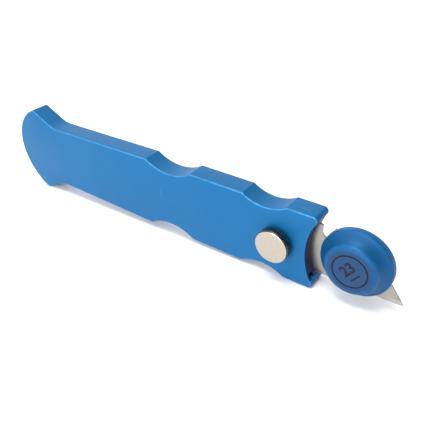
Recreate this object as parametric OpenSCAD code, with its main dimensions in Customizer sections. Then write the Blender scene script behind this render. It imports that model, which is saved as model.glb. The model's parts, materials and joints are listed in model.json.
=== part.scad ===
// Flat-handled utility knife with a clamped trapezoid blade and a round depth stop disc.
// Millimetres. X runs along the handle towards the blade, Z is up across the blade, and Y is
// the plate's thickness. Y = 0 is the flat back face, so the plate lies between -handle_t and 0.

/* [Handle] */
// Handle length along X, from the round butt to the two front horns
handle_len = 142.9; // [110:0.1:180]
// Handle height across its straight sides
handle_h = 27.6; // [22:0.1:36]
// Handle plate thickness
handle_t = 8; // [6:0.1:12]
// How far each side closes in between the rear finger scoop and the butt
side_taper = 0.8; // [0:0.1:1.5]
// How far the butt tips stand out beyond the straight sides
tip_rise = 4.35; // [2:0.05:6]
// Butt radius as a multiple of the half height across the tips
butt_round = 1.083; // [1.02:0.001:1.4]
// Slope of the flare behind each tip, in degrees
flare_angle = 26; // [15:1:40]
// Rounding of the two butt tips
tip_r = 1.3; // [0.6:0.1:2.5]
// Hollow radius where the flare runs into the side
flare_blend_r = 13; // [6:0.5:18]
// Depth of the hollow front end at mid height
front_hollow = 4.1; // [2:0.1:6]
// Rounding of the two front horns
horn_r = 1.5; // [0.6:0.1:2.5]

// Diameter of the round relief at the lower end of the blade's mouth
relief_low_d = 2.6; // [1.6:0.1:2.8]
// Diameter of the round relief at the upper end of the blade's mouth
relief_high_d = 1.4; // [0.8:0.1:1.8]

/* [Finger scoops] */
// Distance of the front scoops' centre behind the front horns
scoop_front_x = 18.7; // [14:0.1:26]
// Length of the front scoops
scoop_front_len = 16.2; // [10:0.1:22]
// Depth of the front scoops
scoop_front_depth = 2.45; // [1:0.05:3.2]
// Distance of the rear scoops' centre behind the front horns
scoop_rear_x = 58.3; // [48:0.1:70]
// Length of the rear scoops
scoop_rear_len = 20.2; // [12:0.1:26]
// Depth of the rear scoops
scoop_rear_depth = 3; // [1:0.05:4]

/* [Blade] */
// Length of the blade's cutting edge
blade_len = 61; // [50:0.5:66]
// Length of the blade's short back edge
blade_back = 33; // [24:0.5:44]
// Height of the blade
blade_h = 19; // [16:0.1:22]
// Thickness of the blade
blade_t = 0.6; // [0.4:0.05:0.9]
// How far the blade's tip stands out in front of the horns
blade_reach = 28.3; // [20:0.1:34]
// How far the blade's centre line lies above the handle's
blade_lift = 0.2; // [-1:0.1:1]
// Height of the ground bevel along the cutting edge
bevel_h = 1.7; // [0.8:0.1:3]
// Distance of each notch from the middle of the back edge
notch_x = 4.5; // [3:0.1:8]
// Half width of the notches
notch_r = 1.95; // [1:0.05:2.5]
// Depth of the notches
notch_depth = 4.45; // [2.5:0.05:6]

/* [Thumbscrew] */
// Distance of the thumbscrew's axis behind the front horns
thumb_x = 13.3; // [9:0.1:16]
// Thumbscrew head diameter
thumb_d = 11.9; // [9:0.1:16]
// Thumbscrew head thickness
thumb_h = 3; // [2:0.1:5]
// Height of the head's underside above the plate
thumb_lift = 1; // [0.4:0.1:2]
// Number of grooves round the head
thumb_grooves = 56; // [24:1:72]
// Thread diameter
thread_d = 3; // [2.5:0.1:4]
// Thread pitch
thread_pitch = 0.5; // [0.35:0.05:0.7]
// Diameter of the pressed thread insert
insert_d = 5.6; // [4.5:0.1:7]
// Pressure pad diameter
pad_d = 4.4; // [3:0.1:5]
// Pressure pad thickness
pad_t = 0.7; // [0.4:0.05:1.1]

/* [Stop disc] */
// Distance of the disc's axis in front of the horns
disc_x = 12.3; // [12:0.1:16]
// How far the disc's axis lies above the handle's centre line
disc_lift = 0.45; // [-1:0.05:1.5]
// Diameter over the rim
disc_d = 23.4; // [18:0.1:28]
// Half thickness of the rim, measured from the blade's mid plane
rim_t = 1.35; // [0.8:0.01:1.6]
// Rounding of each rim edge
rim_round = 0.6; // [0.3:0.05:0.8]
// Half thickness of the disc, measured from the blade's mid plane
disc_t = 5.57; // [4.5:0.01:7.5]
// Diameter of the raised boss
boss_d = 17; // [12:0.1:20]
// Diameter of the boss's flat face
face_d = 14.2; // [10:0.1:18]
// Drop from the flat face to the boss's edge
boss_drop = 0.55; // [0.2:0.05:1]
// Radius of the hollow flank between the rim and the boss
cove_r = 6.5; // [4:0.1:12]
// Diameter of the ring groove in the flat face
ring_d = 11.1; // [8:0.01:13]
// Width of the ring groove
ring_w = 0.4; // [0.3:0.05:0.9]
// Depth of the ring groove
ring_depth = 0.2; // [0.1:0.05:0.5]
// Outside diameter of the sleeve that locates the blade
sleeve_d = 5; // [4:0.1:6]

/* [Fits] */
// Clearance on each side of the blade in its pocket
pocket_gap = 0.1; // [0.05:0.01:0.15]
// Radial clearance of a part that turns or slides in a bore
run_gap = 0.05; // [0.03:0.01:0.1]
// Gap between two faces that only rest against each other
face_gap = 0.02; // [0.01:0.01:0.05]

/* [Hidden] */
$fn = 96;
eps = 0.01;
half_h = handle_h / 2;
half_l = handle_len / 2;
mid = handle_t / 2;
anodised = [0.20, 0.51, 0.78];
deep_blue = [0.07, 0.34, 0.68];
nickel = [0.78, 0.76, 0.72];
steel = [0.62, 0.60, 0.56];
brass = [0.80, 0.64, 0.30];
nylon = [0.86, 0.85, 0.80];
dark_steel = [0.16, 0.17, 0.19];

// butt: centre of the round end, and of the rounding at the upper tip
tip_half = half_h + tip_rise;
butt_r = butt_round * tip_half;
butt_x = -half_l + butt_r;
tip_z = tip_half - tip_r;
tip_x = butt_x - sqrt(pow(butt_r - tip_r, 2) - pow(tip_z, 2));
tip_b = [tip_x + tip_r * sin(flare_angle), tip_z + tip_r * cos(flare_angle)];

// sides: straight between the scoops, closing in slightly towards the butt
taper_x = half_l - scoop_rear_x - scoop_rear_len / 2;
taper_run = 46 / 142.9 * handle_len;
taper_angle = atan(side_taper / taper_run);
flare_c = tip_b.x * sin(flare_angle) + tip_b.y * cos(flare_angle) + flare_blend_r;
side_c = -taper_x * sin(taper_angle) + half_h * cos(taper_angle) + flare_blend_r;
blend_det = sin(flare_angle + taper_angle);
blend_x = (flare_c * cos(taper_angle) - side_c * cos(flare_angle)) / blend_det;
blend_z = (flare_c * sin(taper_angle) + side_c * sin(flare_angle)) / blend_det;

// front: hollow arc between the two horns, which are rounded into the sides
front_r = (half_h * half_h + front_hollow * front_hollow) / (2 * front_hollow);
horn_z = half_h - horn_r;
horn_run = sqrt(pow(front_r + horn_r, 2) - pow(horn_z, 2));
horn_x = half_l - horn_r;
front_x = horn_x + horn_run;
horn_end = -atan2(horn_z, horn_run);

// blade and its pocket
blade_x = half_l + blade_reach - blade_len / 2;
pocket_t = blade_t + 2 * pocket_gap;
pocket_h = blade_h + 2 * pocket_gap;
retract = 3;
pocket_x = blade_x - blade_len / 2 - retract - 0.5;
notch_z = blade_h / 2 - notch_depth + notch_r;

// thumbscrew stack, measured outwards from the plate's mid plane
screw_x = half_l - thumb_x;
bore_r = thread_d / 2;
stud_r = bore_r - run_gap;
pad_face = blade_t / 2 + face_gap;
pad_back = pad_face + pad_t;
pad_travel = 1.5 * thread_pitch;
insert_in = pad_back + pad_travel + 0.15;
pad_bore_r = pad_d / 2 + run_gap;
head_in = mid + thumb_lift;
head_out = head_in + thumb_h;

// stop disc, measured outwards from the blade's mid plane
axis_x = half_l + disc_x;
disc_in = face_gap / 2;
seat_t = blade_t / 2 + face_gap;
disc_r = disc_d / 2;
boss_r = boss_d / 2;
sleeve_r = sleeve_d / 2;
blade_hole_r = sleeve_r + run_gap;
sleeve_near = 0.63 * disc_t;
sleeve_far = 0.36 * disc_t;
clamp_r = 1.5;
clamp_head_r = 2.7;
clamp_head_t = 1.6;
clamp_seat = disc_t - 0.2 - clamp_head_t;

// Lay a 2-D XZ outline into the plate, between two depths in front of the mid plane
module plate(a, b)
    translate([0, -a, 0])
        rotate([90, 0, 0])
            linear_extrude(height = b - a)
                children();

// A round bar along Y at (x, z), between two depths in front of the mid plane
module bar(x, z, r, a, b, f = 96)
    translate([x, -a, z])
        rotate([90, 0, 0])
            cylinder(h = b - a, r = r, $fn = f);

// Everything is drawn about the mid plane, then moved so that the back face is Y = 0
module on_mid() translate([0, -mid, 0]) children();

module mirror_z()
{
    children();
    mirror([0, 1, 0]) children();
}

// Points of an arc about c from angle a0 to angle a1, in n steps
function on_circle(r, a) = [r * cos(a), r * sin(a)];
function arc(c, r, a0, a1, n) = [for (i = [0:n]) c + on_circle(r, a0 + (a1 - a0) * i / n)];

// Shallow round scoop cut into both long sides, x behind the horns
module scoop(x, len, depth)
{
    r = (len * len / 4 + depth * depth) / (2 * depth);
    mirror_z()
        translate([half_l - x, half_h - depth + r])
            circle(r = r, $fn = 180);
}

// Upper half runs from the butt over the tip, the flare and the horn to the hollow front
module handle_outline()
{
    butt_end = atan2(tip_z, tip_x - butt_x);
    upper = concat(
        arc([butt_x, 0], butt_r, 180, butt_end, 36),
        arc([tip_x, tip_z], tip_r, butt_end - 3, 90 - flare_angle, 12),
        arc([blend_x, blend_z], flare_blend_r, 270 - flare_angle, 270 + taper_angle, 12),
        [[taper_x, half_h]],
        arc([horn_x, horn_z], horn_r, 90, horn_end, 16),
        arc([front_x, 0], front_r, 180 + horn_end, 180, 20));
    lower = [for (i = [len(upper) - 2:-1:1]) [upper[i].x, -upper[i].y]];
    difference() {
        polygon(concat(upper, lower));
        scoop(scoop_front_x, scoop_front_len, scoop_front_depth);
        scoop(scoop_rear_x, scoop_rear_len, scoop_rear_depth);
    }
}

// Short blind bore along X into the hollow front, in front of the mid plane by y and at height z
module mouth_relief(d, y, z)
    translate([half_l - front_hollow - 1, -y, z])
        rotate([0, 90, 0])
            cylinder(h = front_hollow + 2, d = d, $fn = 48);

// One-piece plate with a closed blade pocket, the insert's bore and the pad's guide bore
module handle()
    color(anodised) on_mid() difference() {
        plate(-mid, mid) handle_outline();
        translate([pocket_x, -pocket_t / 2, blade_lift - pocket_h / 2])
            cube([handle_len, pocket_t, pocket_h]);
        bar(screw_x, 0, insert_d / 2, insert_in, mid + 1);
        bar(screw_x, 0, pad_bore_r, 0, insert_in + eps);
        mouth_relief(relief_low_d, (mid + pocket_t / 2) / 2, blade_lift - blade_h / 2 - 0.4);
        mouth_relief(relief_high_d, pocket_t / 2 + 1.1, blade_lift + blade_h / 2 - 1.3);
    }

// Threaded insert pressed into the near wall
module thread_insert()
    color(brass) on_mid() difference() {
        bar(screw_x, 0, insert_d / 2, insert_in, mid - 0.1);
        bar(screw_x, 0, bore_r, insert_in - 1, mid + 1);
    }

// Pad between the stud's end and the blade
module pressure_pad()
    color(brass) on_mid() bar(screw_x, 0, pad_d / 2, pad_face, pad_back);

// Head with a straight-grooved rim between two plain shoulders, the outer one bevelled to the face
module thumb_head()
    color(nickel) on_mid() translate([screw_x, -head_in, 0]) rotate([90, 0, 0]) difference() {
        root_r = thumb_d / 2 - 0.22;
        union() {
            cylinder(h = thumb_h - 0.25, r = root_r);
            translate([0, 0, thumb_h - 0.25]) cylinder(h = 0.25, r1 = root_r, r2 = root_r - 0.25);
            translate([0, 0, 0.3])
                linear_extrude(height = thumb_h - 0.75)
                    polygon([for (i = [0:2 * thumb_grooves - 1])
                        on_circle(thumb_d / 2 - (i % 2) * 0.2, i * 180 / thumb_grooves)]);
        }
        translate([0, 0, -1]) cylinder(h = thumb_h - 0.2, r = stud_r);
    }

// Stud pressed into the head; its end bears on the pad
module thumb_stud()
    color(steel) on_mid() translate([screw_x, -pad_back - face_gap, 0]) rotate([90, 0, 0]) {
        long = head_in + thumb_h - 1.2 - eps - pad_back - face_gap;
        turns = floor((mid - insert_in) / thread_pitch);
        difference() {
            cylinder(h = long, r = stud_r);
            for (i = [0:turns])
                translate([0, 0, insert_in - pad_back + i * thread_pitch])
                    rotate_extrude()
                        polygon([[stud_r - 0.2, 0], [stud_r + 0.1, -0.15], [stud_r + 0.1, 0.15]]);
        }
    }

// Nylon washer that fills the space under the head
module thumb_washer()
    color(nylon) on_mid() difference() {
        bar(screw_x, 0, thread_d / 2 + 2, mid + face_gap, head_in);
        bar(screw_x, 0, stud_r, mid - 1, head_in + 1);
    }

module blade_shape()
    polygon([[-blade_len / 2, -blade_h / 2], [blade_len / 2, -blade_h / 2],
             [blade_back / 2, blade_h / 2], [-blade_back / 2, blade_h / 2]]);

module blade_outline()
    difference() {
        blade_shape();
        for (s = [-1, 1])
            translate([s * notch_x, notch_z]) {
                circle(r = notch_r);
                translate([-notch_r, 0]) square([2 * notch_r, blade_h]);
            }
        translate([axis_x - blade_x, disc_lift - blade_lift]) circle(r = blade_hole_r);
    }

// Trapezoid blade, ground on both sides to a cutting edge along the bottom
module blade()
    color(steel) on_mid() translate([blade_x, 0, blade_lift]) intersection() {
        plate(-blade_t / 2, blade_t / 2) blade_outline();
        rotate([90, 0, 90])
            translate([0, 0, -blade_len])
                linear_extrude(height = 2 * blade_len)
                    polygon([[-0.03, -blade_h / 2], [0.03, -blade_h / 2],
                             [blade_t / 2, bevel_h - blade_h / 2], [blade_t / 2, blade_h / 2 + 1],
                             [-blade_t / 2, blade_h / 2 + 1], [-blade_t / 2, bevel_h - blade_h / 2]]);
    }

// Section of one disc half: radius across, depth outwards from the blade's mid plane
module disc_section()
{
    edge = arc([disc_r - rim_round, rim_t - rim_round], rim_round, 0, 60, 6);
    a = edge[6];
    b = [boss_r, disc_t - boss_drop];
    m = (a + b) / 2;
    run = norm(b - a) / 2;
    out = sqrt(cove_r * cove_r - run * run) / norm(b - a);
    c = [m.x + (b.y - a.y) * out, m.y + (a.x - b.x) * out];
    difference() {
        polygon(concat([[0, disc_in], [disc_r, disc_in]], edge, [b, [face_d / 2, disc_t], [0, disc_t]]));
        translate(c) circle(r = cove_r, $fn = 240);
    }
}

// Move to the disc's axis, with local Z pointing outwards from the blade on side s
module at_disc(s)
    on_mid() translate([axis_x, 0, disc_lift])
        rotate([s * -90, 0, 0])
            children();

// Room for the blade between the halves, open where it enters and where its tip leaves
module blade_seat()
    on_mid() translate([blade_x, 0, blade_lift])
        plate(-seat_t, seat_t)
            offset(delta = pocket_gap) blade_shape();

// Near half: closed face with a ring groove, blind bore for the sleeve
module disc_near()
    color(deep_blue) difference() {
        at_disc(-1) difference() {
            rotate_extrude($fn = 180) disc_section();
            translate([0, 0, -1]) cylinder(h = sleeve_near + 1, r = sleeve_r);
            translate([0, 0, disc_t - ring_depth]) difference() {
                cylinder(h = 1, r = (ring_d + ring_w) / 2);
                translate([0, 0, -1]) cylinder(h = 3, r = (ring_d - ring_w) / 2);
            }
        }
        blade_seat();
    }

// Far half: same shape, bored for the sleeve and the clamping screw
module disc_far()
    color(deep_blue) difference() {
        at_disc(1) difference() {
            rotate_extrude($fn = 180) disc_section();
            translate([0, 0, -1]) cylinder(h = sleeve_far + 1, r = sleeve_r);
            cylinder(h = disc_t + 1, r = clamp_r + 0.1);
            translate([0, 0, clamp_seat]) cylinder(h = disc_t, r = clamp_head_r + 0.1);
        }
        blade_seat();
    }

// Sleeve that joins the two halves and locates the blade by its hole
module hub_sleeve()
    color(steel) on_mid() difference() {
        bar(axis_x, disc_lift, sleeve_r, -sleeve_far, sleeve_near);
        bar(axis_x, disc_lift, clamp_r, -sleeve_far - 1, sleeve_near - 0.6);
    }

// Socket screw that pulls the far half against the sleeve
module clamp_screw()
    color(dark_steel) at_disc(1) difference() {
        union() {
            translate([0, 0, 1 - sleeve_near]) cylinder(h = clamp_seat + sleeve_near - 1 + eps, r = clamp_r);
            translate([0, 0, clamp_seat]) cylinder(h = clamp_head_t, r = clamp_head_r);
        }
        translate([0, 0, clamp_seat + 0.5]) cylinder(h = clamp_head_t, r = 1.45, $fn = 6);
    }

handle();
thread_insert();
pressure_pad();
thumb_stud();
thumb_head();
thumb_washer();
blade();
hub_sleeve();
disc_near();
disc_far();
clamp_screw();
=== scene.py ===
import json
import math

import bmesh
import bpy
from mathutils import Matrix, Vector

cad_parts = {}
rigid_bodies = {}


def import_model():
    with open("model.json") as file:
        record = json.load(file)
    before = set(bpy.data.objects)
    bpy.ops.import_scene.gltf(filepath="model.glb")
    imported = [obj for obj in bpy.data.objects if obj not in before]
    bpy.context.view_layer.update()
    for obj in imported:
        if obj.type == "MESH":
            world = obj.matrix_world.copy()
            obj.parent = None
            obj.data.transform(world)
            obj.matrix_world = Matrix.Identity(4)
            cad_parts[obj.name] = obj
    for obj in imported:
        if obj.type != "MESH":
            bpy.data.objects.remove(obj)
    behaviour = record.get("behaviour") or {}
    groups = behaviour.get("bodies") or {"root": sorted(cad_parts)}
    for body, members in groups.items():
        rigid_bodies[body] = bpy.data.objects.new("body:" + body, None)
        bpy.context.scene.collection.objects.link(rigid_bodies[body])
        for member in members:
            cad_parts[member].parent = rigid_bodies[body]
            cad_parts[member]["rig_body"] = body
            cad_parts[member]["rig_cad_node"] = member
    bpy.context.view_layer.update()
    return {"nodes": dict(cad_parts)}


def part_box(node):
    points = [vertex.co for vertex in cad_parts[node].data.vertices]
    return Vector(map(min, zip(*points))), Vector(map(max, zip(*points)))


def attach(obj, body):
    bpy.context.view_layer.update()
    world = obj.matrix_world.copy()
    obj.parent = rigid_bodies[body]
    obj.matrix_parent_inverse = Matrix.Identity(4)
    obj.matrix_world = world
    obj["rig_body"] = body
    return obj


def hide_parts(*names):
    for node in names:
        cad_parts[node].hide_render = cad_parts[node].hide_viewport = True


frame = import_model()
nodes = frame["nodes"]

MM = 0.001
HANDLE_EDGE = 0.55 * MM
MOUTH_EDGE = 0.18 * MM

plate_low, plate_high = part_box("handle")
near_low, near_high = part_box("disc_near")
far_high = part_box("disc_far")[1]
head_low, head_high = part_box("thumb_head")
blade_low, blade_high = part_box("blade")
clamp_low, clamp_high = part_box("clamp_screw")

disc_axis = ((near_low.x + near_high.x) / 2, (near_low.z + near_high.z) / 2)
screw_axis = ((head_low.x + head_high.x) / 2, (head_low.z + head_high.z) / 2)
TEETH = 56
CREST_R = (head_high.x - head_low.x) / 2
ROOT_R = CREST_R - 0.34 * MM


# ---------------------------------------------------------------- shaping helpers

def clear_selection():
    if bpy.context.object and bpy.context.object.mode != "OBJECT":
        bpy.ops.object.mode_set(mode="OBJECT")
    bpy.ops.object.select_all(action="DESELECT")


def take(piece):
    """Make one piece the only selected and active one."""
    clear_selection()
    piece.select_set(True)
    bpy.context.view_layer.objects.active = piece


def start_edit(piece):
    take(piece)
    bpy.ops.object.mode_set(mode="EDIT")
    bpy.ops.mesh.select_mode(type="VERT")


def stop_edit():
    bpy.ops.object.mode_set(mode="OBJECT")


def pick(piece, kind, test):
    """In edit mode, select only the vertices, edges or faces that pass a test of their place or normal."""
    bpy.ops.mesh.select_mode(type={"verts": "VERT", "edges": "EDGE", "faces": "FACE"}[kind])
    bpy.ops.mesh.select_all(action="DESELECT")
    mesh = bmesh.from_edit_mesh(piece.data)
    for item in getattr(mesh, kind):
        if test(item):
            item.select_set(True)
    mesh.select_flush_mode()
    bmesh.update_edit_mesh(piece.data)


def settle(piece, angle=30):
    """Place the piece in its mesh and smooth everything flatter than an angle."""
    take(piece)
    bpy.ops.object.transform_apply(location=True, rotation=True, scale=True)
    bpy.ops.object.shade_smooth_by_angle(angle=math.radians(angle))


def copy_of_node(node, name):
    """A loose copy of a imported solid, with its doubled corners merged and its flat faces joined."""
    piece = nodes[node].copy()
    piece.data = nodes[node].data.copy()
    piece.name = name
    piece.data.name = name
    piece.parent = None
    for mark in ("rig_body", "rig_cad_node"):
        if mark in piece:
            del piece[mark]
    bpy.context.scene.collection.objects.link(piece)
    start_edit(piece)
    bpy.ops.mesh.select_all(action="SELECT")
    bpy.ops.mesh.remove_doubles(threshold=1e-6)
    bpy.ops.mesh.customdata_custom_splitnormals_clear()
    bpy.ops.mesh.dissolve_limited(angle_limit=math.radians(0.2))
    stop_edit()
    piece.data.materials.clear()
    return piece


def turned(name, axis, rings, sides=144, cap_start=False, cap_end=False, closed=False):
    """A turned piece about an axis along Y: a circle is drawn out ring by ring, (radius, y)."""
    clear_selection()
    radius, y = rings[0]
    bpy.ops.mesh.primitive_circle_add(vertices=sides, radius=radius, fill_type="NOTHING",
                                      location=(axis[0], y, axis[1]), rotation=(math.pi / 2, 0, 0))
    piece = bpy.context.object
    piece.name = name
    piece.data.name = name
    bpy.ops.object.transform_apply(location=True, rotation=True, scale=True)
    bpy.ops.object.mode_set(mode="EDIT")
    bpy.ops.mesh.select_mode(type="EDGE")
    bpy.ops.mesh.select_all(action="SELECT")
    if cap_start:
        bpy.ops.mesh.edge_face_add()
        pick(piece, "edges", lambda edge: True)
    for next_radius, next_y in rings[1:]:
        bpy.ops.mesh.extrude_edges_move(TRANSFORM_OT_translate={"value": (0, next_y - y, 0)})
        scale = next_radius / radius
        bpy.ops.transform.resize(value=(scale, 1, scale), center_override=(axis[0], next_y, axis[1]))
        radius, y = next_radius, next_y
    if cap_end:
        bpy.ops.mesh.edge_face_add()
    bpy.ops.mesh.select_all(action="SELECT")
    if closed:
        bpy.ops.mesh.remove_doubles(threshold=1e-7)
    bpy.ops.mesh.normals_make_consistent(inside=False)
    stop_edit()
    return piece


def arc_rings(centre, radius, start, end, steps):
    """Rings of a rounding: centre (radius, y) in the section, angles in degrees."""
    return [(centre[0] + radius * math.cos(math.radians(start + (end - start) * i / steps)),
             centre[1] + radius * math.sin(math.radians(start + (end - start) * i / steps)))
            for i in range(steps + 1)]


# ---------------------------------------------------------------- surface groups

def new_group(name, inputs, outputs):
    """An empty node group with named sockets; returns its tree, input node and output node."""
    tree = bpy.data.node_groups.new(name, "ShaderNodeTree")
    kinds = {"v": "NodeSocketFloat", "c": "NodeSocketColor", "p": "NodeSocketVector"}
    for label, kind, value in inputs:
        socket = tree.interface.new_socket(label, in_out="INPUT", socket_type=kinds[kind])
        socket.default_value = value
    for label, kind in outputs:
        tree.interface.new_socket(label, in_out="OUTPUT", socket_type=kinds[kind])
    return tree, tree.nodes.new("NodeGroupInput"), tree.nodes.new("NodeGroupOutput")


def sums(tree, operation, a, b=None, clamp=False):
    """A Math node; each of a and b is a socket or a number."""
    node = tree.nodes.new("ShaderNodeMath")
    node.operation = operation
    node.use_clamp = clamp
    for socket, value in zip(node.inputs, (a, b)):
        if value is None:
            continue
        if isinstance(value, (int, float)):
            socket.default_value = value
        else:
            tree.links.new(value, socket)
    return node.outputs[0]


def remap(tree, value, low, high, to_low=0.0, to_high=1.0, smooth=True):
    node = tree.nodes.new("ShaderNodeMapRange")
    node.interpolation_type = "SMOOTHSTEP" if smooth else "LINEAR"
    for label, number in (("From Min", low), ("From Max", high), ("To Min", to_low), ("To Max", to_high)):
        if isinstance(number, (int, float)):
            node.inputs[label].default_value = number
        else:
            tree.links.new(number, node.inputs[label])
    tree.links.new(value, node.inputs["Value"])
    return node.outputs["Result"]


def blend_colour(tree, factor, a, b, kind="MIX"):
    node = tree.nodes.new("ShaderNodeMix")
    node.data_type = "RGBA"
    node.blend_type = kind
    for socket, value in ((node.inputs[0], factor), (node.inputs[6], a), (node.inputs[7], b)):
        if isinstance(value, (int, float)):
            socket.default_value = value
        elif isinstance(value, tuple):
            socket.default_value = value
        else:
            tree.links.new(value, socket)
    return node.outputs[2]


def place_socket(tree, scale=None, turn=None):
    """Object coordinates, stretched or turned by a Mapping node when asked."""
    coords = tree.nodes.new("ShaderNodeTexCoord").outputs["Object"]
    if scale is None and turn is None:
        return coords
    mapping = tree.nodes.new("ShaderNodeMapping")
    if scale:
        mapping.inputs["Scale"].default_value = scale
    if turn:
        mapping.inputs["Rotation"].default_value = turn
    tree.links.new(coords, mapping.inputs["Vector"])
    return mapping.outputs["Vector"]


def noise(tree, vector, scale, detail=2.0, roughness=0.5, distortion=0.0):
    node = tree.nodes.new("ShaderNodeTexNoise")
    node.inputs["Detail"].default_value = detail
    node.inputs["Roughness"].default_value = roughness
    node.inputs["Distortion"].default_value = distortion
    tree.links.new(vector, node.inputs["Vector"])
    if isinstance(scale, (int, float)):
        node.inputs["Scale"].default_value = scale
    else:
        tree.links.new(scale, node.inputs["Scale"])
    return node.outputs["Fac"]


def make_blasted_skin():
    """Fine bead-blasted grain under dye, with slow drifts of shade over the surface."""
    tree, given, out = new_group(
        "blasted_skin",
        [("Color", "c", (0.5, 0.5, 0.5, 1)), ("Deep Color", "c", (0.4, 0.4, 0.4, 1)),
         ("Grains per Metre", "v", 9000.0), ("Shade Drift", "v", 0.2),
         ("Roughness", "v", 0.4), ("Roughness Spread", "v", 0.08)],
        [("Color", "c"), ("Roughness", "v"), ("Height", "v")])
    place = place_socket(tree)
    grain = noise(tree, place, given.outputs["Grains per Metre"], 3.0, 0.6)
    drift = noise(tree, place, 42.0, 3.0, 0.55, 0.4)
    shade = sums(tree, "MULTIPLY", remap(tree, drift, 0.3, 0.7), given.outputs["Shade Drift"])
    speck = sums(tree, "MULTIPLY", remap(tree, grain, 0.35, 0.75), 0.10)
    mixed = blend_colour(tree, sums(tree, "ADD", shade, speck, True),
                         given.outputs["Color"], given.outputs["Deep Color"])
    lift = sums(tree, "MULTIPLY", sums(tree, "SUBTRACT", drift, 0.5), given.outputs["Roughness Spread"])
    fine = sums(tree, "MULTIPLY", sums(tree, "SUBTRACT", grain, 0.5), given.outputs["Roughness Spread"])
    rough = sums(tree, "ADD", given.outputs["Roughness"], sums(tree, "ADD", lift, fine), True)
    tree.links.new(mixed, out.inputs["Color"])
    tree.links.new(rough, out.inputs["Roughness"])
    tree.links.new(grain, out.inputs["Height"])
    return tree


def make_handling_marks():
    """Faint hairline scratches and finger smudges left by use."""
    tree, given, out = new_group(
        "handling_marks",
        [("Scratches", "v", 0.3), ("Smudges", "v", 0.3)],
        [("Scratch Mask", "v"), ("Smudge Mask", "v")])
    total = None
    for stretch, turn in (((40, 900, 3600), (0.0, 0.5, 0.0)), ((900, 900, 45), (0.0, -0.7, 0.0)),
                          ((60, 700, 2600), (0.0, -0.15, 0.2))):
        lines = noise(tree, place_socket(tree, stretch, turn), 1.0, 2.0, 0.5, 0.6)
        thin = remap(tree, lines, 0.70, 0.76)
        total = thin if total is None else sums(tree, "MAXIMUM", total, thin)
    patches = remap(tree, noise(tree, place_socket(tree), 130.0, 1.0), 0.50, 0.62)
    scratches = sums(tree, "MULTIPLY", sums(tree, "MULTIPLY", total, patches), given.outputs["Scratches"])
    smudge = remap(tree, noise(tree, place_socket(tree, (1, 1, 0.6)), 75.0, 4.0, 0.6, 0.9), 0.48, 0.66)
    tree.links.new(scratches, out.inputs["Scratch Mask"])
    tree.links.new(sums(tree, "MULTIPLY", smudge, given.outputs["Smudges"]), out.inputs["Smudge Mask"])
    return tree


def make_edge_wear_and_highlight():
    """Lightens an edge, partly as wear where hands and the bench rub the finish thin, partly as a painted
    highlight.
    """
    tree, given, out = new_group(
        "edge_wear_and_highlight",
        [("Color", "c", (0.5, 0.5, 0.5, 1)), ("Rubbed Color", "c", (0.7, 0.7, 0.7, 1)),
         ("Edge", "v", 0.0), ("Amount", "v", 0.3)],
        [("Color", "c"), ("Mask", "v")])
    breakup = remap(tree, noise(tree, place_socket(tree), 520.0, 4.0, 0.65), 0.32, 0.68, 0.35, 1.0)
    mask = sums(tree, "MULTIPLY", sums(tree, "MULTIPLY", given.outputs["Edge"], breakup),
                given.outputs["Amount"], True)
    tree.links.new(blend_colour(tree, mask, given.outputs["Color"], given.outputs["Rubbed Color"]),
                   out.inputs["Color"])
    tree.links.new(mask, out.inputs["Mask"])
    return tree


def make_lathe_marks():
    """Concentric turning lines about an axis along Y."""
    tree, given, out = new_group(
        "lathe_marks",
        [("Axis X", "v", 0.0), ("Axis Z", "v", 0.0), ("Lines per Metre", "v", 9000.0)],
        [("Height", "v"), ("Radius", "v")])
    split = tree.nodes.new("ShaderNodeSeparateXYZ")
    tree.links.new(place_socket(tree), split.inputs[0])
    across = sums(tree, "SUBTRACT", split.outputs["X"], given.outputs["Axis X"])
    along = sums(tree, "SUBTRACT", split.outputs["Z"], given.outputs["Axis Z"])
    radius = sums(tree, "SQRT", sums(tree, "ADD", sums(tree, "MULTIPLY", across, across),
                                     sums(tree, "MULTIPLY", along, along)))
    join = tree.nodes.new("ShaderNodeCombineXYZ")
    tree.links.new(sums(tree, "MULTIPLY", radius, given.outputs["Lines per Metre"]), join.inputs["X"])
    tree.links.new(sums(tree, "MULTIPLY", split.outputs["Y"], given.outputs["Lines per Metre"]),
                   join.inputs["Y"])
    tree.links.new(noise(tree, join.outputs[0], 1.0, 2.0, 0.6), out.inputs["Height"])
    tree.links.new(radius, out.inputs["Radius"])
    return tree


def make_ground_lines():
    """Straight grinding lines in steel, long in one direction."""
    tree, given, out = new_group(
        "ground_lines",
        [("Color", "c", (0.6, 0.6, 0.6, 1)), ("Dull Color", "c", (0.4, 0.4, 0.4, 1)),
         ("Across", "v", 0.0), ("Roughness", "v", 0.3)],
        [("Color", "c"), ("Roughness", "v"), ("Height", "v")])
    long_lines = noise(tree, place_socket(tree, (160, 4000, 9000)), 1.0, 3.0, 0.6)
    cross_lines = noise(tree, place_socket(tree, (9000, 4000, 260)), 1.0, 3.0, 0.6)
    lines = remap(tree, given.outputs["Across"], 0.0, 1.0, long_lines, cross_lines, False)
    cloud = noise(tree, place_socket(tree), 260.0, 4.0, 0.6, 0.5)
    dull = sums(tree, "ADD", sums(tree, "MULTIPLY", remap(tree, cloud, 0.35, 0.7), 0.55),
                sums(tree, "MULTIPLY", lines, 0.35), True)
    tree.links.new(blend_colour(tree, dull, given.outputs["Color"], given.outputs["Dull Color"]),
                   out.inputs["Color"])
    spread = sums(tree, "MULTIPLY", sums(tree, "SUBTRACT", lines, 0.5), 0.25)
    tree.links.new(sums(tree, "ADD", given.outputs["Roughness"], spread, True), out.inputs["Roughness"])
    tree.links.new(lines, out.inputs["Height"])
    return tree


blasted_skin = make_blasted_skin()
handling_marks = make_handling_marks()
edge_wear_and_highlight = make_edge_wear_and_highlight()
lathe_marks = make_lathe_marks()
ground_lines = make_ground_lines()


# ---------------------------------------------------------------- materials

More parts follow.
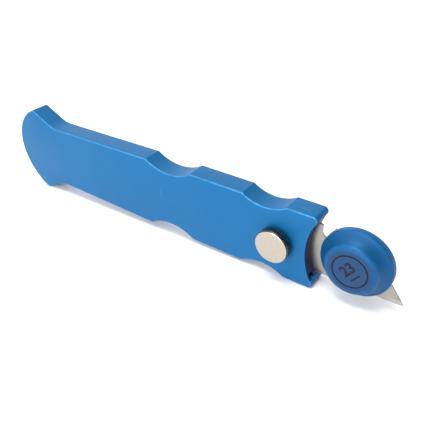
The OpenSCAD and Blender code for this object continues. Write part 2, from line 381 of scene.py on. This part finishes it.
def new_material(name, **settings):
    """A material with a Principled shader; plain settings go on the shader's own sockets."""
    material = bpy.data.materials.new(name)
    material.use_nodes = True
    tree = material.node_tree
    shader = tree.nodes["Principled BSDF"]
    for label, value in settings.items():
        shader.inputs[label.replace("_", " ")].default_value = value
    material.diffuse_color = settings.get("Base_Color", (0.5, 0.5, 0.5, 1))
    return material, tree, shader


def add_group(tree, group, **values):
    node = tree.nodes.new("ShaderNodeGroup")
    node.node_tree = group
    for label, value in values.items():
        socket = node.inputs[label.replace("_", " ")]
        if isinstance(value, (int, float, tuple)):
            socket.default_value = value
        else:
            tree.links.new(value, socket)
    return node


def add_bump(tree, shader, height, strength, distance, below=None):
    bump = tree.nodes.new("ShaderNodeBump")
    bump.inputs["Strength"].default_value = strength
    bump.inputs["Distance"].default_value = distance
    tree.links.new(height, bump.inputs["Height"])
    if below is not None:
        tree.links.new(below, bump.inputs["Normal"])
    tree.links.new(bump.outputs["Normal"], shader.inputs["Normal"])
    return bump.outputs["Normal"]


def anodised(name, colour, deep, wear_and_highlight_colour, roughness, edge_amount, mouth_shade_and_face_tone, lathe_axis=None):
    """Dyed anodised aluminium, blasted or finely turned; "shade" marks painted shade in the handle's mouth
    and the disc's own duller face tone.
    """
    material, tree, shader = new_material(name, Metallic=0.30, Specular_IOR_Level=0.25,
                                          Base_Color=colour)
    skin = add_group(tree, blasted_skin, Color=colour, Deep_Color=deep, Grains_per_Metre=9000.0,
                     Shade_Drift=0.30, Roughness=roughness, Roughness_Spread=0.10)
    edge = tree.nodes.new("ShaderNodeAttribute")
    edge.attribute_name = "edge"
    # The rubbed colour lightens the marked edges, partly as wear and partly as a painted highlight.
    wear_and_highlight = add_group(tree, edge_wear_and_highlight, Color=skin.outputs["Color"], Rubbed_Color=wear_and_highlight_colour,
                    Edge=edge.outputs["Fac"], Amount=edge_amount)
    marks = add_group(tree, handling_marks, Scratches=0.30, Smudges=0.5)
    colour_out = blend_colour(tree, sums(tree, "MULTIPLY", marks.outputs["Scratch Mask"], 0.5),
                              wear_and_highlight.outputs["Color"], wear_and_highlight_colour)
    # The "shade" mix is painted shade in the hollow round the handle's mouth, and the disc's own duller face
    # tone.
    shade = tree.nodes.new("ShaderNodeAttribute")
    shade.attribute_name = "shade"
    tree.links.new(blend_colour(tree, shade.outputs["Fac"], colour_out, mouth_shade_and_face_tone), shader.inputs["Base Color"])
    rough = sums(tree, "SUBTRACT", skin.outputs["Roughness"],
                 sums(tree, "MULTIPLY", marks.outputs["Smudge Mask"], 0.05), True)
    tree.links.new(rough, shader.inputs["Roughness"])
    normal = add_bump(tree, shader, skin.outputs["Height"], 0.35, 0.000012)
    if lathe_axis:
        lines = add_group(tree, lathe_marks, Axis_X=lathe_axis[0], Axis_Z=lathe_axis[1],
                          Lines_per_Metre=7000.0)
        normal = add_bump(tree, shader, lines.outputs["Height"], 0.25, 0.00001, normal)
    add_bump(tree, shader, marks.outputs["Scratch Mask"], 0.3, 0.000008, normal)
    return material


# Handle: the rubbed colour is partly wear, partly a painted edge highlight; the last colour is painted shade
# in the hollow round the blade's mouth.
handle_blue = anodised("handle_blue_anodised", (0.003, 0.116, 0.295, 1), (0.002, 0.097, 0.258, 1),
                       (0.110, 0.380, 0.680, 1), 0.46, 0.80, (0.001, 0.014, 0.075, 1))
# Disc: the rubbed colour is partly wear, partly a painted highlight on the rim crest and boss edge; the last
# colour is the flat face's own duller tone.
disc_blue = anodised("disc_blue_anodised", (0.0012, 0.072, 0.205, 1), (0.001, 0.060, 0.178, 1),
                       (0.010, 0.190, 0.440, 1), 0.46, 0.60, (0.012, 0.050, 0.135, 1), disc_axis)


def make_ink():
    """Black marking burnt into the dyed surface."""
    material, tree, shader = new_material("marking_black", Base_Color=(0.005, 0.009, 0.024, 1),
                                          Specular_IOR_Level=0.25)
    place = place_socket(tree)
    dots = noise(tree, place, 11000.0, 2.0, 0.6)
    tree.links.new(blend_colour(tree, remap(tree, dots, 0.35, 0.75), (0.002, 0.004, 0.012, 1),
                                (0.006, 0.012, 0.034, 1)), shader.inputs["Base Color"])
    tree.links.new(remap(tree, dots, 0.3, 0.7, 0.50, 0.70), shader.inputs["Roughness"])
    add_bump(tree, shader, dots, 0.3, 0.00001)
    return material


def make_bright_nickel():
    """Bright nickel plate: fine facing rings on the head, with painted shade low in the grooves and a little
    down the knurled side.
    """
    material, tree, shader = new_material("thumb_nickel", Metallic=1.0, Base_Color=(0.50, 0.445, 0.375, 1))
    lines = add_group(tree, lathe_marks, Axis_X=screw_axis[0], Axis_Z=screw_axis[1], Lines_per_Metre=5200.0)
    marks = add_group(tree, handling_marks, Scratches=0.5, Smudges=0.6)
    skin = add_group(tree, blasted_skin, Color=(0.50, 0.445, 0.375, 1), Deep_Color=(0.44, 0.39, 0.33, 1),
                     Grains_per_Metre=1400.0, Shade_Drift=0.35, Roughness=0.24, Roughness_Spread=0.10)
    split = tree.nodes.new("ShaderNodeSeparateXYZ")
    tree.links.new(place_socket(tree), split.inputs[0])
    # Painted shade: the knurled side behind the face edge is darkened a little, and the grooves almost to
    # black.
    behind = remap(tree, split.outputs["Y"], head_low.y + 0.10 * MM, head_low.y + 0.34 * MM)
    low = remap(tree, lines.outputs["Radius"], CREST_R - 0.03 * MM, CREST_R - 0.17 * MM)
    groove_shade = sums(tree, "MULTIPLY", behind, sums(tree, "ADD", sums(tree, "MULTIPLY", low, 0.85), 0.12, True))
    tree.links.new(blend_colour(tree, groove_shade, skin.outputs["Color"], (0.020, 0.026, 0.036, 1)),
                   shader.inputs["Base Color"])
    rough = sums(tree, "ADD", skin.outputs["Roughness"],
                 sums(tree, "MULTIPLY", marks.outputs["Smudge Mask"], 0.08), True)
    tree.links.new(rough, shader.inputs["Roughness"])
    normal = add_bump(tree, shader, lines.outputs["Height"], 0.20, 0.000010)
    add_bump(tree, shader, marks.outputs["Scratch Mask"], 0.3, 0.000006, normal)
    return material


def make_blade_steel():
    """Blade steel with long grinding lines, and cross-ground bright steel on the cutting bevel."""
    material, tree, shader = new_material("blade_steel", Metallic=1.0, Base_Color=(0.56, 0.53, 0.49, 1))
    split = tree.nodes.new("ShaderNodeSeparateXYZ")
    tree.links.new(place_socket(tree), split.inputs[0])
    bevel_top = blade_low.z + 1.7 * MM
    bevel = remap(tree, split.outputs["Z"], bevel_top + 0.03 * MM, bevel_top - 0.03 * MM)
    edge = remap(tree, split.outputs["Z"], blade_low.z + 0.35 * MM, blade_low.z + 0.25 * MM)
    lines = add_group(tree, ground_lines, Color=(0.38, 0.362, 0.330, 1), Dull_Color=(0.275, 0.258, 0.235, 1),
                      Across=bevel, Roughness=0.34)
    marks = add_group(tree, handling_marks, Scratches=0.5, Smudges=0.6)
    bright = blend_colour(tree, sums(tree, "MULTIPLY", sums(tree, "MAXIMUM", bevel, edge), 0.55),
                          lines.outputs["Color"], (0.58, 0.56, 0.53, 1))
    tree.links.new(blend_colour(tree, sums(tree, "MULTIPLY", marks.outputs["Smudge Mask"], 0.35),
                                bright, (0.30, 0.27, 0.24, 1)), shader.inputs["Base Color"])
    tree.links.new(lines.outputs["Roughness"], shader.inputs["Roughness"])
    normal = add_bump(tree, shader, lines.outputs["Height"], 0.25, 0.000008)
    add_bump(tree, shader, marks.outputs["Scratch Mask"], 0.4, 0.000006, normal)
    return material


def turned_metal(name, colour, dull, axis, roughness):
    """Turned steel or brass with ring marks about its own axis."""
    material, tree, shader = new_material(name, Metallic=1.0, Base_Color=colour)
    lines = add_group(tree, lathe_marks, Axis_X=axis[0], Axis_Z=axis[1], Lines_per_Metre=6000.0)
    skin = add_group(tree, blasted_skin, Color=colour, Deep_Color=dull, Grains_per_Metre=2500.0,
                     Shade_Drift=0.6, Roughness=roughness, Roughness_Spread=0.15)
    tree.links.new(skin.outputs["Color"], shader.inputs["Base Color"])
    tree.links.new(skin.outputs["Roughness"], shader.inputs["Roughness"])
    add_bump(tree, shader, lines.outputs["Height"], 0.3, 0.00001)
    return material


def make_nylon():
    """Slightly translucent off-white nylon with moulding mottle."""
    material, tree, shader = new_material("washer_nylon", Base_Color=(0.70, 0.68, 0.61, 1),
                                          Subsurface_Weight=0.15, Subsurface_Scale=0.0006)
    skin = add_group(tree, blasted_skin, Color=(0.72, 0.70, 0.63, 1), Deep_Color=(0.60, 0.57, 0.49, 1),
                     Grains_per_Metre=4000.0, Shade_Drift=0.5, Roughness=0.5, Roughness_Spread=0.12)
    tree.links.new(skin.outputs["Color"], shader.inputs["Base Color"])
    tree.links.new(skin.outputs["Roughness"], shader.inputs["Roughness"])
    add_bump(tree, shader, skin.outputs["Height"], 0.3, 0.00002)
    return material


marking_black = make_ink()
thumb_nickel = make_bright_nickel()
blade_steel = make_blade_steel()
stud_steel = turned_metal("stud_steel", (0.56, 0.55, 0.53, 1), (0.40, 0.39, 0.37, 1), screw_axis, 0.32)
sleeve_steel = turned_metal("sleeve_steel", (0.56, 0.55, 0.53, 1), (0.42, 0.41, 0.39, 1), disc_axis, 0.28)
clamp_black = turned_metal("clamp_black_oxide", (0.050, 0.052, 0.058, 1), (0.022, 0.023, 0.027, 1),
                           disc_axis, 0.38)
insert_brass = turned_metal("insert_brass", (0.70, 0.50, 0.21, 1), (0.50, 0.33, 0.12, 1), screw_axis, 0.30)
washer_nylon = make_nylon()


def dress_node(node, material):
    """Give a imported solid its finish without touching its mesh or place."""
    solid = nodes[node]
    if not solid.material_slots:
        solid.data.materials.append(material)
    for slot in solid.material_slots:
        slot.material = material


# ---------------------------------------------------------------- handle

def shape_handle():
    """The plate with softened long edges and a broken edge round the blade's mouth."""
    piece = copy_of_node("handle", "handle_plate")
    start_edit(piece)
    bore = Vector((screw_axis[0], screw_axis[1]))

    def on_rim(edge):
        a, b = (v.co for v in edge.verts)
        for side in (plate_low.y, plate_high.y):
            if abs(a.y - side) < 1e-6 and abs(b.y - side) < 1e-6:
                if (Vector((a.x, a.z)) - bore).length < 4 * MM:
                    return False
                across = [face for face in edge.link_faces if abs(face.normal.y) < 0.5]
                return len(edge.link_faces) == 2 and len(across) == 1
        return False

    pick(piece, "edges", on_rim)
    bpy.ops.mesh.bevel(offset_type="OFFSET", offset=HANDLE_EDGE, segments=5, profile=0.5,
                       affect="EDGES", clamp_overlap=False)

    mouth_low = (blade_low.z - 0.15 * MM, blade_high.z + 0.15 * MM)
    half_slot = (blade_high.y - blade_low.y) / 2 + 0.15 * MM
    slot_y = (blade_high.y + blade_low.y) / 2

    def at_mouth(edge):
        a, b = (v.co for v in edge.verts)
        for point in (a, b):
            if abs(point.y - slot_y) > half_slot or point.x < 0.9 * plate_high.x:
                return False
            if not mouth_low[0] - MM < point.z < mouth_low[1] + MM:
                return False
        inside = [face for face in edge.link_faces if abs(face.normal.x) < 0.1]
        return len(edge.link_faces) == 2 and len(inside) == 1

    pick(piece, "edges", at_mouth)
    bpy.ops.mesh.bevel(offset_type="OFFSET", offset=MOUTH_EDGE, segments=2, profile=0.5,
                       affect="EDGES", clamp_overlap=True)
    stop_edit()
    settle(piece, 28)
    mark_edges(piece, (plate_low.y, plate_high.y), HANDLE_EDGE)
    paint_mouth_shade(piece)
    piece.data.materials.append(handle_blue)
    return piece


def mark_edges(piece, sides, width):
    """Store how near each corner of the mesh is to the middle of a rounded edge."""
    layer = piece.data.attributes.new("edge", "FLOAT", "POINT")
    for vertex, item in zip(piece.data.vertices, layer.data):
        depth = min(abs(vertex.co.y - side) for side in sides)
        item.value = max(0.0, 1 - abs(depth / width - 0.3) / 0.3) if depth > 1e-6 else 0.0


def paint_mouth_shade(piece):
    """Store where painted shade darkens the hollow front round the blade's mouth."""
    layer = piece.data.attributes.new("shade", "FLOAT", "POINT")
    reach = blade_high.z - blade_low.z
    for vertex, item in zip(piece.data.vertices, layer.data):
        place = vertex.co
        if place.x < 0.92 * plate_high.x or abs(place.z) > 0.56 * reach:
            continue
        if place.y < plate_low.y + 0.05 * MM or place.y > plate_high.y - 0.05 * MM:
            continue
        item.value = 1.0


handle_plate = shape_handle()
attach(handle_plate, "handle")
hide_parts("handle")


# ---------------------------------------------------------------- depth stop disc

BLADE_MID = (blade_low.y + blade_high.y) / 2
DISC_R = (near_high.x - near_low.x) / 2
DISC_T = BLADE_MID - near_low.y
DISC_IN = BLADE_MID - near_high.y
RIM_T = 1.35 * MM
RIM_ROUND = 0.60 * MM
BOSS_R = 8.5 * MM
BOSS_DROP = 0.55 * MM
FACE_R = 7.1 * MM
COVE_R = 6.5 * MM
RING_R = 5.55 * MM
RING_HALF = 0.20 * MM
RING_DEPTH = 0.2 * MM
SLEEVE_R = 2.5 * MM
SLEEVE_NEAR = 0.63 * DISC_T
SLEEVE_FAR = 0.36 * DISC_T
BLADE_BACK = 33 * MM
SEAT_GAP = 0.1 * MM
SEAT_SIDE = 0.02 * MM
CLAMP_SINK = 0.2 * MM
CLAMP_HEAD_T = 1.6 * MM


def disc_rings():
    """Section of one half, out from the blade's middle: round the closed rim and up the hollow flank."""
    rings = [(DISC_R - 0.03 * MM, DISC_IN), (DISC_R, DISC_IN + 0.03 * MM)]
    edge = arc_rings((DISC_R - RIM_ROUND, RIM_T - RIM_ROUND), RIM_ROUND, 0, 60, 8)
    rings += edge
    low, high = Vector(edge[-1]), Vector((BOSS_R, DISC_T - BOSS_DROP))
    middle, run = (low + high) / 2, high - low
    reach = math.sqrt(COVE_R ** 2 - (run.length / 2) ** 2) / run.length
    centre = Vector((middle.x + run.y * reach, middle.y - run.x * reach))
    start = math.degrees(math.atan2(low.y - centre.y, low.x - centre.x)) % 360
    end = math.degrees(math.atan2(high.y - centre.y, high.x - centre.x)) % 360
    rings += arc_rings(centre, COVE_R, start + (end - start) * 0.03, start + (end - start) * 0.96, 14)
    crown = Vector((BOSS_R - 0.06 * MM, DISC_T - BOSS_DROP))
    rings += [(crown.x, crown.y), (crown.x - 0.06 * MM, crown.y + 0.10 * MM),
              (crown.x - 0.20 * MM, crown.y + 0.17 * MM),
              (FACE_R + 0.18 * MM, DISC_T - 0.07 * MM), (FACE_R + 0.04 * MM, DISC_T - 0.018 * MM),
              (FACE_R - 0.10 * MM, DISC_T)]
    return rings


def cut_seat(piece):
    """Sink the blade's outline, with its clearance, into the inner face of a disc half."""
    clear_selection()
    half_h = (blade_high.z - blade_low.z) / 2
    slant = ((blade_high.x - blade_low.x) - BLADE_BACK) / (4 * half_h)
    side = SEAT_GAP * math.hypot(1, slant)
    wide = (blade_high.x - blade_low.x) / 2 + side + slant * SEAT_GAP
    narrow = BLADE_BACK / 2 + side - slant * SEAT_GAP
    bpy.ops.mesh.primitive_cube_add(size=2, location=((blade_low.x + blade_high.x) / 2, BLADE_MID,
                                                      (blade_low.z + blade_high.z) / 2))
    cutter = bpy.context.object
    cutter.scale = (wide, (blade_high.y - blade_low.y) / 2 + SEAT_SIDE, half_h + SEAT_GAP)
    bpy.ops.object.transform_apply(location=False, rotation=False, scale=True)
    start_edit(cutter)
    pick(cutter, "verts", lambda vertex: vertex.co.z > 0)
    bpy.ops.transform.resize(value=(narrow / wide, 1, 1), center_override=tuple(cutter.location))
    stop_edit()
    take(piece)
    sink = piece.modifiers.new("seat", "BOOLEAN")
    sink.operation = "DIFFERENCE"
    sink.solver = "EXACT"
    sink.object = cutter
    bpy.ops.object.modifier_apply(modifier=sink.name)
    bpy.data.objects.remove(cutter, do_unlink=True)


def outwards(rings, way):
    """Move rings measured out from the blade's middle to their place; way is -1 for the near half."""
    return [(r, BLADE_MID + way * y) for r, y in rings]


def shape_near_half():
    r, half, floor, lip = RING_R, RING_HALF, DISC_T - RING_DEPTH, 0.03 * MM
    rings = [(SLEEVE_R, SLEEVE_NEAR), (SLEEVE_R, DISC_IN)] + disc_rings()
    rings += [(r + half + lip, DISC_T), (r + half, DISC_T - lip), (r + half, floor + lip),
              (r + half - lip, floor), (r - half + lip, floor), (r - half, floor + lip),
              (r - half, DISC_T - lip), (r - half - lip, DISC_T), (2 * MM, DISC_T)]
    piece = turned("disc_half_near", disc_axis, outwards(rings, -1), cap_start=True, cap_end=True)
    cut_seat(piece)
    settle(piece, 34)
    return piece


def shape_far_half():
    seat, hole_r, recess_r = DISC_T - CLAMP_SINK - CLAMP_HEAD_T, 1.6 * MM, 2.8 * MM
    rings = [(hole_r, seat), (hole_r, SLEEVE_FAR), (SLEEVE_R, SLEEVE_FAR), (SLEEVE_R, DISC_IN)]
    rings += disc_rings()
    rings += [(recess_r + 0.18 * MM, DISC_T), (recess_r + 0.06 * MM, DISC_T - 0.06 * MM),
              (recess_r, DISC_T - 0.18 * MM), (recess_r, seat), (hole_r, seat)]
    piece = turned("disc_half_far", disc_axis, outwards(rings, 1), closed=True)
    cut_seat(piece)
    settle(piece, 34)
    return piece


def mark_rim(piece):
    """Store where the disc's rim crest and the edge of its boss are lightened, partly as rub wear, partly as
    a painted highlight.
    """
    layer = piece.data.attributes.new("edge", "FLOAT", "POINT")
    for vertex, item in zip(piece.data.vertices, layer.data):
        radius = math.hypot(vertex.co.x - disc_axis[0], vertex.co.z - disc_axis[1])
        on_rim = radius > DISC_R - RIM_ROUND
        near_rim = 1 - min(1, abs(vertex.co.y - BLADE_MID) / RIM_T) if on_rim else 0
        near_boss = 1 - min(1, abs(radius - BOSS_R) / (0.30 * MM))
        item.value = max(near_rim, 0.8 * near_boss)
    layer = piece.data.attributes.new("shade", "FLOAT", "POINT")
    face_y = (near_low.y, far_high.y)
    for vertex, item in zip(piece.data.vertices, layer.data):
        radius = math.hypot(vertex.co.x - disc_axis[0], vertex.co.z - disc_axis[1])
        outside = min(abs(vertex.co.y - y) for y in face_y) < 0.03 * MM
        item.value = 1.0 if outside and radius < FACE_R else 0.0


near_half = shape_near_half()
mark_rim(near_half)
near_half.data.materials.append(disc_blue)
near_half.data.materials.append(marking_black)
for face in near_half.data.polygons:
    radius = math.hypot(face.center.x - disc_axis[0], face.center.z - disc_axis[1])
    if abs(radius - RING_R) < RING_HALF + 0.035 * MM and face.center.y < near_low.y + RING_DEPTH + 0.01 * MM:
        face.material_index = 1

far_half = shape_far_half()
mark_rim(far_half)
far_half.data.materials.append(disc_blue)

for half, node in ((near_half, "disc_near"), (far_half, "disc_far")):
    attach(half, "blade")
    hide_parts(node)


# Size marking on the near face: the disc's diameter in millimetres, over a short bar.
MARK_TURN = math.radians(53)
INK_T = 0.012 * MM


def ink_place(piece, across, up):
    """Lay a flat marking on the near face, turned about the disc's axis."""
    turn = Matrix.Rotation(-MARK_TURN, 4, "Y")
    lay = Matrix.Rotation(math.pi / 2, 4, "X")
    centre = Matrix.Translation((disc_axis[0], near_low.y, disc_axis[1]))
    piece.matrix_world = centre @ turn @ lay @ Matrix.Translation((across, up, 0))
    take(piece)
    bpy.ops.object.transform_apply(location=True, rotation=True, scale=True)


def shape_number():
    clear_selection()
    bpy.ops.object.text_add(location=(0, 0, 0))
    piece = bpy.context.object
    piece.name = "size_number"
    piece.data.body = "23"
    piece.data.size = 4.9 * MM
    piece.data.align_x = "CENTER"
    piece.data.align_y = "CENTER"
    piece.data.extrude = INK_T
    piece.data.offset = 0.17 * MM
    piece.data.space_character = 1.06
    piece.data.resolution_u = 10
    bpy.ops.object.convert(target="MESH")
    start_edit(piece)
    bpy.ops.mesh.select_all(action="SELECT")
    bpy.ops.mesh.remove_doubles(threshold=1e-7)
    bpy.ops.mesh.normals_make_consistent(inside=False)
    stop_edit()
    ink_place(piece, 0, 0.75 * MM)
    return piece


def shape_bar():
    clear_selection()
    bpy.ops.mesh.primitive_cube_add(size=1, location=(0, 0, 0))
    piece = bpy.context.object
    piece.name = "size_bar"
    piece.scale = (4.2 * MM, 0.55 * MM, 2 * INK_T)
    bpy.ops.object.transform_apply(location=False, rotation=False, scale=True)
    start_edit(piece)
    pick(piece, "edges", lambda edge: abs(edge.verts[0].co.z - edge.verts[1].co.z) > INK_T)
    bpy.ops.mesh.bevel(offset_type="OFFSET", offset=0.26 * MM, segments=6, profile=0.5, affect="EDGES")
    stop_edit()
    ink_place(piece, 0, -2.55 * MM)
    return piece


for marking in (shape_number(), shape_bar()):
    marking.data.name = marking.name
    marking.data.materials.clear()
    marking.data.materials.append(marking_black)
    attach(marking, "blade")


# ---------------------------------------------------------------- thumbscrew head

def shape_head():
    """Turned head; its straight grooves are made by drawing in every other pair of rim corners."""
    under, face = head_high.y, head_low.y
    shoulder = CREST_R - 0.20 * MM
    bore = 1.46 * MM
    rings = [(bore, under - 1.8 * MM), (bore, under), (shoulder - 0.30 * MM, under),
             (shoulder - 0.05 * MM, under - 0.08 * MM), (shoulder, under - 0.26 * MM),
             (CREST_R - 0.04 * MM, under - 0.34 * MM), (CREST_R, under - 0.42 * MM),
             (CREST_R, face + 0.52 * MM), (CREST_R - 0.06 * MM, face + 0.42 * MM),
             (shoulder, face + 0.38 * MM), (shoulder - 0.01 * MM, face + 0.24 * MM),
             (shoulder - 0.06 * MM, face + 0.12 * MM), (shoulder - 0.20 * MM, face + 0.03 * MM),
             (shoulder - 0.36 * MM, face), (shoulder - 1.4 * MM, face), (1.2 * MM, face)]
    piece = turned("thumb_knurled_head", screw_axis, rings, sides=4 * TEETH, cap_start=True, cap_end=True)
    start_edit(piece)
    step = 2 * math.pi / (4 * TEETH)

    def in_groove(vertex):
        across, up = vertex.co.x - screw_axis[0], vertex.co.z - screw_axis[1]
        if math.hypot(across, up) < shoulder + 0.03 * MM:
            return False
        return round(math.atan2(up, across) / step) % 4 >= 2

    pick(piece, "verts", in_groove)
    scale = ROOT_R / CREST_R
    bpy.ops.transform.resize(value=(scale, 1, scale), center_override=(screw_axis[0], face, screw_axis[1]))
    stop_edit()
    settle(piece, 30)
    piece.data.materials.append(thumb_nickel)
    return piece


thumb_knurled_head = shape_head()
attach(thumb_knurled_head, "thumbscrew")
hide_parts("thumb_head")


# ---------------------------------------------------------------- clamp screw in the far half

def shape_clamp_screw():
    """Socket screw: turned head and shank with a hexagon socket sunk into the head."""
    head_r, shank_r = 2.7 * MM, 1.5 * MM
    top, seat = clamp_high.y, clamp_high.y - CLAMP_HEAD_T
    end = clamp_low.y
    rings = [(shank_r - 0.3 * MM, end), (shank_r, end + 0.3 * MM)]
    threads, pitch = 9, 0.5 * MM
    y = end + 0.5 * MM
    while y < seat - 2.2 * MM and threads:
        rings += [(shank_r, y), (shank_r - 0.22 * MM, y + 0.22 * MM), (shank_r, y + 0.44 * MM)]
        y += pitch
        threads -= 1
    rings += [(shank_r, y + 0.2 * MM), (shank_r, seat - 0.02 * MM), (shank_r + 0.02 * MM, seat),
              (head_r - 0.1 * MM, seat), (head_r, seat + 0.1 * MM), (head_r, top - 0.22 * MM),
              (head_r - 0.06 * MM, top - 0.08 * MM), (head_r - 0.2 * MM, top), (1.75 * MM, top)]
    piece = turned("clamp_socket_screw", disc_axis, rings, sides=96, cap_start=True, cap_end=True)
    clear_selection()
    bpy.ops.mesh.primitive_cylinder_add(vertices=6, radius=1.45 * MM, depth=2.2 * MM, end_fill_type="NGON",
                                        location=(disc_axis[0], top, disc_axis[1]),
                                        rotation=(math.pi / 2, 0, 0))
    key = bpy.context.object
    take(piece)
    sink = piece.modifiers.new("socket", "BOOLEAN")
    sink.operation = "DIFFERENCE"
    sink.solver = "EXACT"
    sink.object = key
    bpy.ops.object.modifier_apply(modifier=sink.name)
    bpy.data.objects.remove(key, do_unlink=True)
    start_edit(piece)

    def on_socket(edge):
        a, b = (v.co for v in edge.verts)
        if abs(a.y - top) > 1e-6 or abs(b.y - top) > 1e-6:
            return False
        return any(abs(face.normal.y) < 0.2 for face in edge.link_faces)

    pick(piece, "edges", on_socket)
    bpy.ops.mesh.bevel(offset_type="OFFSET", offset=0.10 * MM, segments=2, affect="EDGES")
    stop_edit()
    settle(piece, 30)
    piece.data.materials.append(clamp_black)
    return piece


clamp_socket_screw = shape_clamp_screw()
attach(clamp_socket_screw, "blade")
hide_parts("clamp_screw")


# ---------------------------------------------------------------- blade and inner pieces

def shape_blade():
    """The blade with its faces joined, so that its ground bevel and notches stay crisp."""
    piece = copy_of_node("blade", "trapezoid_blade")
    settle(piece, 4)
    piece.data.materials.append(blade_steel)
    return piece


trapezoid_blade = shape_blade()
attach(trapezoid_blade, "blade")
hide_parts("blade")

dress_node("thumb_stud", stud_steel)
dress_node("thumb_washer", washer_nylon)
dress_node("thread_insert", insert_brass)
dress_node("pressure_pad", insert_brass)
dress_node("hub_sleeve", sleeve_steel)


# ---------------------------------------------------------------- floor, light and camera

def make_floor():
    """A pale bench under the butt and the front lower corner, which the knife stands on."""
    corners = [v.co for v in nodes["handle"].data.vertices]
    heel = min((c for c in corners if c.x < 0), key=lambda c: c.z)
    slope = min((c.z - heel.z) / (c.x - heel.x) for c in corners if c.x > 0)
    clear_selection()
    bpy.ops.mesh.primitive_plane_add(size=6, location=(0, 0, heel.z - slope * heel.x - 0.00002),
                                     rotation=(0, -math.atan(slope), 0))
    floor = bpy.context.object
    floor.name = "bench_top"
    bpy.ops.object.transform_apply(location=True, rotation=True, scale=True)
    material, tree, shader = new_material("bench_white", Base_Color=(0.92, 0.92, 0.92, 1), Roughness=0.6)
    tone = noise(tree, place_socket(tree), 3.0, 2.0)
    tree.links.new(remap(tree, tone, 0.3, 0.7, 0.55, 0.65), shader.inputs["Roughness"])
    floor.data.materials.append(material)


def make_sky():
    """White tent, brighter behind and to the left, dimmer to the upper right."""
    world = bpy.data.worlds.new("white_tent")
    bpy.context.scene.world = world
    world.use_nodes = True
    tree = world.node_tree
    background = tree.nodes["Background"]
    aim = tree.nodes.new("ShaderNodeVectorMath")
    aim.operation = "DOT_PRODUCT"
    aim.inputs[1].default_value = Vector((0.90, 0.10, 0.42)).normalized()
    tree.links.new(tree.nodes.new("ShaderNodeTexCoord").outputs["Generated"], aim.inputs[0])
    dim = remap(tree, aim.outputs["Value"], -0.25, 0.90, 1.40, 0.36)
    tree.links.new(dim, background.inputs["Strength"])
    background.inputs["Color"].default_value = (1.0, 0.995, 0.985, 1)


def add_softbox(name, place, target, size, power):
    light = bpy.data.lights.new(name, "AREA")
    light.shape = "RECTANGLE"
    light.size, light.size_y = size
    light.energy = power
    box = bpy.data.objects.new(name, light)
    bpy.context.scene.collection.objects.link(box)
    box.location = place
    box.rotation_euler = (Vector(target) - Vector(place)).to_track_quat("-Z", "Y").to_euler()


def make_camera():
    camera = bpy.data.cameras.new("camera")
    camera.lens = 44.065
    camera.sensor_width = 36
    camera.clip_start = 0.01
    stand = bpy.data.objects.new("camera", camera)
    bpy.context.scene.collection.objects.link(stand)
    right = Vector((0.81005, 0.58580, -0.02578))
    up = Vector((-0.31153, 0.46720, 0.82745))
    back = Vector((0.49676, -0.66224, 0.56095))
    turn = Matrix((right, up, back)).transposed().to_4x4()
    stand.matrix_world = Matrix.Translation((0.123483, -0.127650, 0.102440)) @ turn
    bpy.context.scene.camera = stand


make_floor()
make_sky()
add_softbox("softbox_key", (-0.10, -0.16, 0.92), (0.04, 0, 0), (0.50, 0.40), 6)
add_softbox("softbox_front", (0.02, -0.85, 0.30), (0.04, 0, 0), (0.6, 0.4), 5.4)
make_camera()
bpy.context.scene.view_settings.view_transform = "Standard"

clear_selection()
